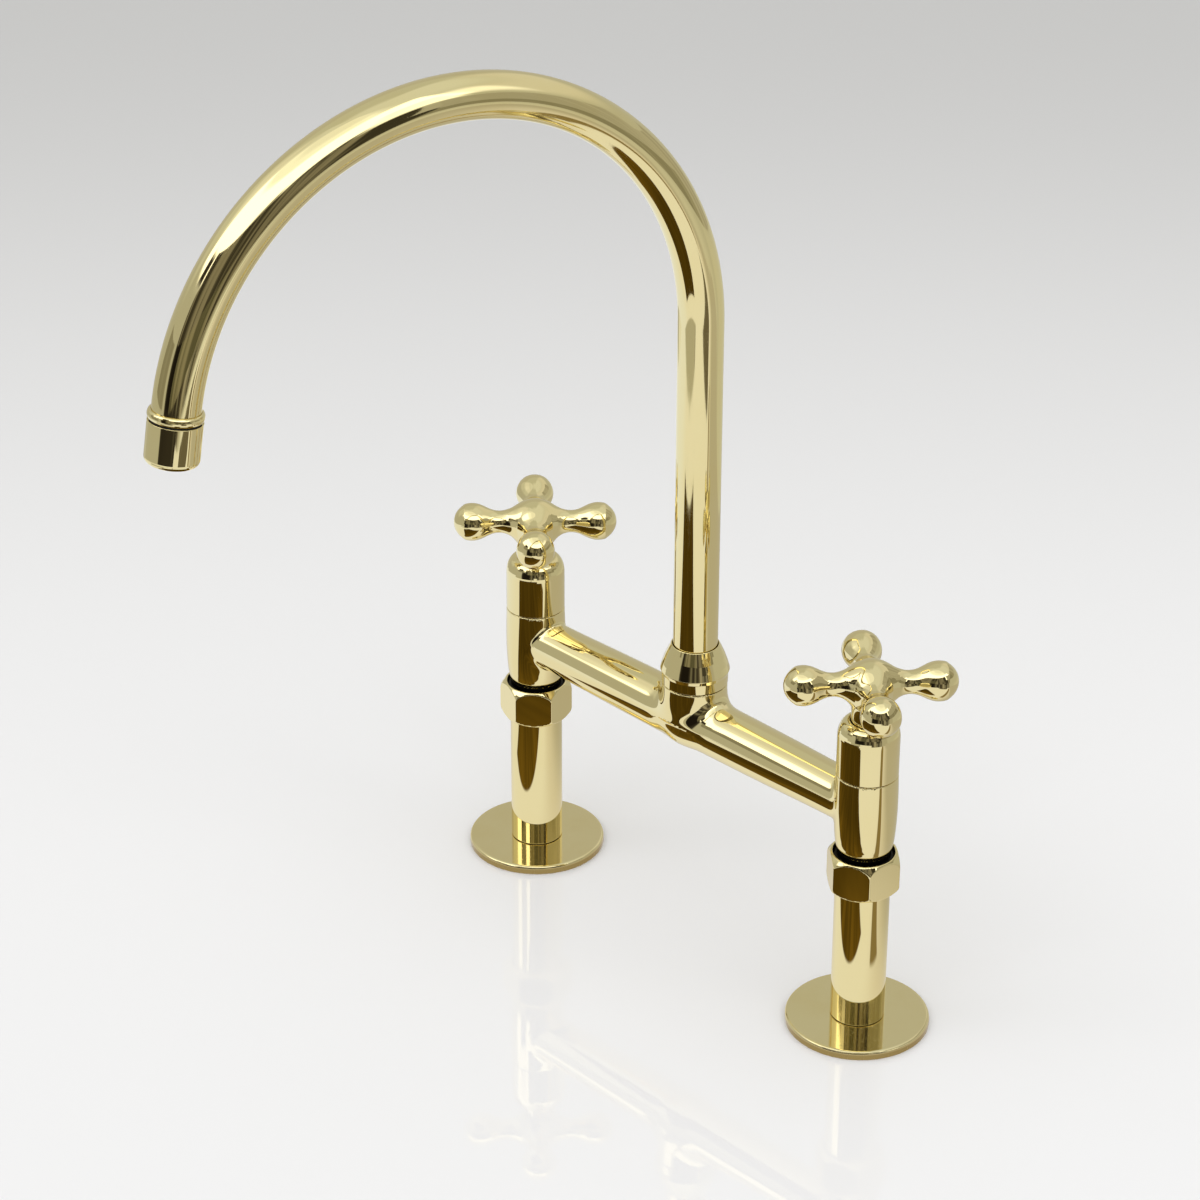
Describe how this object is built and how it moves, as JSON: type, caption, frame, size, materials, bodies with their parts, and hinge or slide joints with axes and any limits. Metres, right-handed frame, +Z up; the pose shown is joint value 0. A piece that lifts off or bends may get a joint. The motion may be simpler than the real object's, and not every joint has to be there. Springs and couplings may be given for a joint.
{
  "type": "bridge kitchen faucet",
  "caption": "Bridge kitchen faucet in polished brass: legs on round flanges, a bridge with cross-handled ceramic valves and a tall swivelling gooseneck spout with an aerator.",
  "frame": {"origin": "on the worktop's upper face, midway between the two legs", "axes": "+X along the bridge from the hot side to the cold side, -Y towards the user and the basin, +Z up"},
  "size_m": [0.2652, 0.2784, 0.4859],
  "materials": {
    "brass": "mirror-polished, unlacquered",
    "steel": "plain stainless steel",
    "rubber": "matt black",
    "nylon": "matt white",
    "ceramic": "ground and lapped"
  },
  "bodies": {
    "body": {"hot_flange": "brass", "hot_flange_gasket": "rubber", "hot_leg": "brass", "hot_backing_washer": "rubber", "hot_clamp_washer": "steel", "hot_locknut": "brass", "hot_union_washer": "rubber", "hot_union_nut": "brass", "hot_seat_seal": "rubber", "hot_fixed_disc": "ceramic", "hot_cartridge_body": "brass", "hot_bonnet": "brass", "cold_flange": "brass", "cold_flange_gasket": "rubber", "cold_leg": "brass", "cold_backing_washer": "rubber", "cold_clamp_washer": "steel", "cold_locknut": "brass", "cold_union_washer": "rubber", "cold_union_nut": "brass", "cold_seat_seal": "rubber", "cold_fixed_disc": "ceramic", "cold_cartridge_body": "brass", "cold_bonnet": "brass", "bridge_body": "brass", "spout_nut": "brass"},
    "hot_valve": {"hot_handle": "brass", "hot_handle_grub_screw": "steel", "hot_stem": "brass", "hot_stem_o_ring": "rubber", "hot_stem_circlip": "steel", "hot_moving_disc": "ceramic"},
    "cold_valve": {"cold_handle": "brass", "cold_handle_grub_screw": "steel", "cold_stem": "brass", "cold_stem_o_ring": "rubber", "cold_stem_circlip": "steel", "cold_moving_disc": "ceramic"},
    "spout": {"spout_tube": "brass", "spout_spigot": "brass", "spout_o_ring_upper": "rubber", "spout_o_ring_lower": "rubber", "spout_slip_ring": "nylon", "tip_collar": "brass", "aerator_washer": "rubber", "aerator_housing": "brass", "aerator_seal": "rubber", "aerator_insert": "nylon", "aerator_screen": "steel"}
  },
  "joints": [
    {"name": "hot_handle_turn", "type": "hinge", "parent": "body", "child": "hot_valve", "pos_m": [-0.1016, 0, 0.1667], "axis": [0, 0, 1], "range_deg": [0, 90]},
    {"name": "cold_handle_turn", "type": "hinge", "parent": "body", "child": "cold_valve", "pos_m": [0.1016, 0, 0.1667], "axis": [0, 0, 1], "range_deg": [-90, 0]},
    {"name": "spout_swivel", "type": "hinge", "parent": "body", "child": "spout", "pos_m": [0, 0, 0.1269], "axis": [0, 0, 1], "continuous": true}
  ]
}
